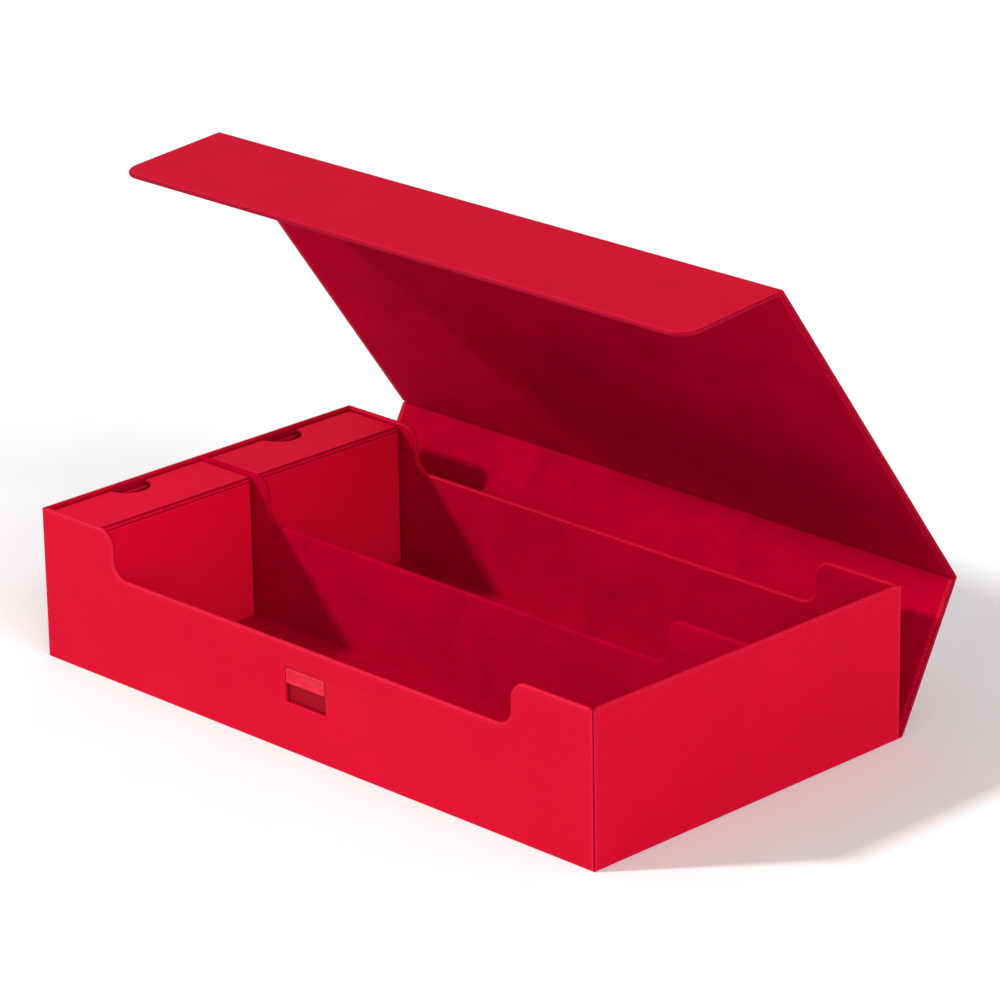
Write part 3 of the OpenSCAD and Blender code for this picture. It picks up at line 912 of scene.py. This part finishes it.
def crease_strip(name, node, bodies, axis, a, b, half_w, finish, inset, back, flat=False,
                 pressed=0.0):
    """A crease between faces a and b, each (away from the axis, outwards), along X or Y.

    A flat one is an even strip with square ends, as the lining is. pressed is the depth of the
    lines tooled along a crease."""
    (away_a, out_a), (away_b, out_b) = a, b
    along = away_a.cross(out_a).normalized()
    bend = math.acos(max(-1, min(1, out_a.dot(out_b))))
    pattern = Pattern()
    rows = []
    stations = [0.0, 0.08, 0.28, 0.62, panel_rim_r] if not flat else [0.0]
    places = [(half_w - inset - s, s) for s in stations]
    places = [(-w, s) for w, s in places] + [(w, s) for w, s in reversed(places)]
    for w, s in places:
        drop = panel_rim_r - math.sqrt(panel_rim_r ** 2 - (panel_rim_r - s) ** 2) if not flat else 0.0
        lift = back - (0 if flat else turned(s, panel_inner_r))
        lift = max(lift, 0.1)
        inner = [axis + away_a * crease_reach * k - out_a * lift * h for k, h in inner_fold]
        inner += [axis.copy()]
        inner += [axis + away_b * crease_reach * k - out_b * lift * h for k, h in reversed(inner_fold)]
        if flat:
            under = 0.3
            outer = [p + (axis + (out_a + out_b).normalized() * crease_r - p).normalized() * under
                     for p in inner]
        else:
            outer, outer_painted_shade = crease_section(axis, a, b, drop, pressed)
        wear_and_painted_light = [0.0] * (len(outer) + len(inner)) if flat else outer_painted_shade + [0.0] * len(inner)
        rows.append(pattern.line([p + along * w for p in outer + inner[::-1]], wear_and_painted_light))
    pattern.join_all(rows, closed=True)
    for row in (rows[0], rows[-1]):
        if flat:
            pattern.join(row[:len(inner)], row[len(inner):][::-1])
        else:
            pattern.faces.append(tuple(row))
    towards = axis + (out_a + out_b) * far_off
    piece = make_piece(name, pattern, finish, towards, sharp=60)
    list(bodies)
    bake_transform(piece)
    if node:
        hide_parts(node)
    return piece


crease_leather = make_leatherette("crease_leather", deep=(0.31, 0.0, 0.009), main=(0.51, 0.001, 0.02),
                                  rub_and_painted_light=(0.64, 0.006, 0.034), pebble=0.55)


def faces_of(pose, closed_away, closed_out):
    """The two directions of a face, turned from where it is closed to where it is now."""
    turn = pose.to_3x3()
    return turn @ Vector(closed_away), turn @ Vector(closed_out)


crease_lines = (
    ("back", ("box", "back_panel"), Matrix.Identity(4), back_pose, (0, hinge_y, low_hinge_z),
     ((0, -1, 0), (0, 0, -1)), ((0, 0, 1), (0, 1, 0))),
    ("top", ("back_panel", "top_panel"), back_pose, top_pose, (0, hinge_y, high_hinge_z),
     ((0, 0, -1), (0, 1, 0)), ((0, -1, 0), (0, 0, 1))),
    ("flap", ("top_panel", "flap"), top_pose, flap_pose, (0, -hinge_y, high_hinge_z),
     ((0, 1, 0), (0, 0, 1)), ((0, 0, -1), (0, -1, 0))),
)
for name, bodies, pose_a, pose_b, axis, a, b in crease_lines:
    place = pose_b @ Vector(axis)
    face_a, face_b = faces_of(pose_a, *a), faces_of(pose_b, *b)
    crease_strip(name + "_crease_leather", name + "_crease", bodies, place, face_a, face_b, half_l,
                 crease_leather, 0.0, crease_r - panel_back_h)
    crease_strip(name + "_crease_lining", None, bodies, place, face_a, face_b, half_l,
                 microfibre, border_w, crease_r, flat=True)

# ---- Trays ----
# An open greyboard tray stands at the left end of each row, wrapped outside in leatherette
# that turns in over its rim, and lined with microfibre. Its lid hinges on a crease at the right.

tray_rim_r, tray_inner_r, tray_corner_r, tray_foot_r = 0.9, 0.7, 1.2, 0.8
tray_board_t = 1.4
tray_wall_t = skin_t + tray_board_t + lining_t
tray_steps = 6
# A brighter copy of the leatherette for the trays and their lids: painted light standing in for the
# light that falls on them.
tray_leather = make_leatherette("tray_leather", deep=(0.42, 0.0, 0.013), main=(0.68, 0.001, 0.028),
                                rub_and_painted_light=(0.76, 0.008, 0.042))


def tray_row(low, high, inset, z, radius):
    """A closed row round a tray at one height."""
    middle = (low + high) / 2
    half = (high - low) / 2
    row = rounded_rectangle(half.x - inset, half.y - inset, max(radius - inset, 0.25), tray_steps,
                            (middle.x, middle.y))
    return [(x, y, z) for x, y in row]


def tray_shell(name, low, high, body):
    """A tray's leatherette: bottom, walls and rim, ending inside the tray below the lining's edge."""
    pattern = Pattern()
    rows = []
    back = tray_wall_t - leather_t
    rim = rim_profile(back, tray_rim_r, tray_inner_r, steps=4)
    # Rubbing with a painted highlight on each tray's foot and rim.
    for turn in (math.pi / 8 * k for k in range(5)):
        inset, z = tray_foot_r * (1 - math.sin(turn)), tray_foot_r * (1 - math.cos(turn))
        rows.append(pattern.line(tray_row(low, high, inset, low.z + z, tray_corner_r), 0.5))
    for inset, depth in rim:
        rows.append(pattern.line(tray_row(low, high, depth, high.z - inset, tray_corner_r),
                                 0.6 if inset < 0.4 else 0.0))
    rows.append(pattern.line(tray_row(low, high, back, high.z - wrap_down, tray_corner_r)))
    pattern.join_all(rows, closed=True)
    pattern.faces.append(tuple(rows[0]))
    middle = (low + high) / 2
    piece = make_piece(name + "_leather", pattern, tray_leather, (middle.x, middle.y, -far_off),
                       thickness=leather_t)
    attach(piece, body)
    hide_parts(name + "_skin")


def tray_lining(name, low, high, body):
    """The microfibre in a tray: floor and walls, ending just below the rim."""
    pattern = Pattern()
    floor = low.z + tray_wall_t
    fold = 0.8
    profile = [(tray_wall_t + fold * (1 - math.sin(t)), floor + fold * (1 - math.cos(t)))
               for t in (math.pi / 8 * k for k in range(5))]
    top = high.z - lining_top_in
    profile += [(tray_wall_t, top - 0.3), (tray_wall_t - 0.08, top - 0.08), (tray_wall_t - 0.25, top)]
    rows = [pattern.line(tray_row(low, high, x, z, tray_wall_t + 1.0)) for x, z in profile]
    pattern.join_all(rows, closed=True)
    pattern.faces.append(tuple(rows[0]))
    middle = (low + high) / 2
    piece = make_piece(name + "_lining_sheet", pattern, microfibre, (middle.x, middle.y, far_off),
                       thickness=cloth_t)
    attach(piece, body)
    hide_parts(name + "_lining")


notch_r, lid_corner_r = 11.0, 1.3
tray_line_depth = 0.25
lid_t = tray_wall_t
for row_name, side in (("front", -1), ("rear", 1)):
    name = row_name + "_tray"
    low, high = (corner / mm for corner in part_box(name + "_skin"))
    tray_shell(name, low, high, name)
    tray_lining(name, low, high, name)
    tray_w = high.y - low.y
    lid_low, lid_high = (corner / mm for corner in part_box(name + "_lid_skin"))
    lid_l = lid_high.x - lid_low.x
    lid_top = lid_high.z
    lid_place = (Matrix.Translation((lid_high.x, (low.y + high.y) / 2, lid_top - lid_t))
                 @ Matrix.Rotation(math.pi / 2, 4, "Z"))
    lid_body = name + "_lid"
    panel_leather(lid_body + "_leather", lid_place, tray_w, lid_l, lid_body, lid_body + "_skin",
                  lid_corner_r, notch_r, tray_leather, stitched=False)
    panel_lining(lid_body + "_lining_sheet", lid_place, tray_w, lid_l, lid_body, lid_body + "_lining",
                 lid_corner_r, notch_r)
    axis = Vector((high.x - lid_t / 2, (low.y + high.y) / 2, lid_top - lid_t / 2))
    face_a = (Vector((0, 0, -1)), Vector((1, 0, 0)))
    face_b = (Vector((-1, 0, 0)), Vector((0, 0, 1)))
    # The lines tooled along the lid's crease carry painted shade.
    crease_strip(name + "_crease_leather", name + "_crease", (name, lid_body), axis, face_a, face_b,
                 tray_w / 2, tray_leather, 0.0, lid_t / 2 - panel_back_h,
                 pressed=tray_line_depth)

# ---- Studio ----
# A matt white floor, a key light from the left in front and above, a broad fill from the
# right, and even light from all round.


def make_floor_paper():
    """Matt white paper with the faintest mottle."""
    finish, shader, place = new_finish("paper_floor", Specular_IOR_Level=0.1)
    mottle = noise(finish, place, 60, 3.0)
    white = shades(finish, mottle, (0.3, (0.92, 0.92, 0.92)), (0.7, (0.94, 0.94, 0.94)))
    fill(finish, shader, Base_Color=white, Roughness=between(finish, mottle, 0.85, 0.95))
    return finish


floor_half = 12.0
floor_corners = [(x * floor_half, y * floor_half, 0.0)
                 for x, y in ((-1, -1), (1, -1), (1, 1), (-1, 1))]
floor_mesh = bpy.data.meshes.new("floor")
floor_mesh.from_pydata(floor_corners, [], [(0, 1, 2, 3)])
floor_mesh.materials.append(make_floor_paper())
floor = bpy.data.objects.new("floor", floor_mesh)
bpy.context.scene.collection.objects.link(floor)

world = bpy.data.worlds.new("studio")
world.use_nodes = True
world.node_tree.nodes["Background"].inputs["Color"].default_value = (1, 1, 1, 1)
world.node_tree.nodes["Background"].inputs["Strength"].default_value = 0.45
bpy.context.scene.world = world
bpy.context.scene.view_settings.view_transform = "Standard"


def sun(name, towards, strength, angle):
    """A light from far away; the wider its angle in degrees, the softer its shadows."""
    light = bpy.data.lights.new(name, "SUN")
    light.energy = strength
    light.angle = math.radians(angle)
    lamp = bpy.data.objects.new(name, light)
    lamp.rotation_euler = Vector(towards).to_track_quat("-Z", "Y").to_euler()
    bpy.context.scene.collection.objects.link(lamp)


sun("key", (0.955, 1.12, -1.0), 2.52, 5)
sun("side_fill", (-1.0, 0.35, -0.42), 2.3, 50)

camera_azimuth, camera_elevation, camera_roll = 45.43, 20.38, 0.95
azimuth, elevation, roll = (math.radians(x) for x in (camera_azimuth, camera_elevation, camera_roll))
forward = Vector((-math.sin(azimuth) * math.cos(elevation), math.cos(azimuth) * math.cos(elevation),
                  -math.sin(elevation)))
level = Vector((math.cos(azimuth), math.sin(azimuth), 0))
upright = level.cross(forward)
right = level * math.cos(roll) - upright * math.sin(roll)
up = upright * math.cos(roll) + level * math.sin(roll)
camera = bpy.data.objects.new("camera", bpy.data.cameras.new("camera"))
camera.data.sensor_width = 36
camera.data.lens = 179.65
camera.data.clip_end = 50
camera.matrix_world = Matrix((right, up, -forward)).transposed().to_4x4()
camera.location = Vector((1583.8, -1534.0, 918.9)) * mm
bpy.context.scene.collection.objects.link(camera)
bpy.context.scene.camera = camera
